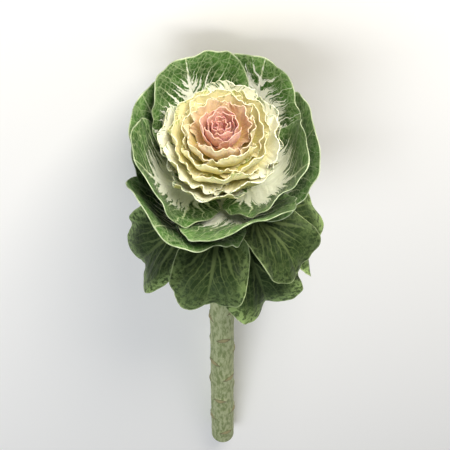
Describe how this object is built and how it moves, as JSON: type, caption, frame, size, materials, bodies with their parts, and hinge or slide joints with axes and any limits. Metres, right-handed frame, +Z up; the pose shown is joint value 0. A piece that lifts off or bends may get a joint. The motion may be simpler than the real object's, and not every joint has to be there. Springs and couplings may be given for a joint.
{
  "type": "ornamental kale stem",
  "caption": "Cut stem of ornamental kale lying down: a scarred woody stem, loose lower leaves and a cup of veined green leaves round a cream and pink rosette.",
  "frame": {"origin": "on the surface the stem lies on, under the centre of its bounding box", "axes": "+Z up from that surface, +Y from the head towards the cut end, +X across the stem"},
  "size_m": [0.1329, 0.5105, 0.1416],
  "materials": {
    "stem": "matte",
    "lower_leaf": "satin",
    "cup_leaf": "satin",
    "marbled_leaf": "satin",
    "cream_leaf": "satin",
    "heart_leaf": "satin"
  },
  "bodies": {
    "root": {"stem": "stem", "lower_leaf_1": "lower_leaf", "lower_leaf_2": "lower_leaf", "lower_leaf_3": "lower_leaf", "lower_leaf_4": "lower_leaf", "lower_leaf_5": "lower_leaf", "lower_leaf_6": "lower_leaf", "cup_leaf_1": "cup_leaf", "cup_leaf_2": "cup_leaf", "cup_leaf_3": "cup_leaf", "cup_leaf_4": "cup_leaf", "cup_leaf_5": "cup_leaf", "cup_leaf_6": "cup_leaf", "cup_leaf_7": "cup_leaf", "cup_leaf_8": "cup_leaf", "cup_leaf_9": "cup_leaf", "marbled_leaves": "marbled_leaf", "cream_leaves": "cream_leaf", "heart_leaves": "heart_leaf"}
  },
  "joints": []
}
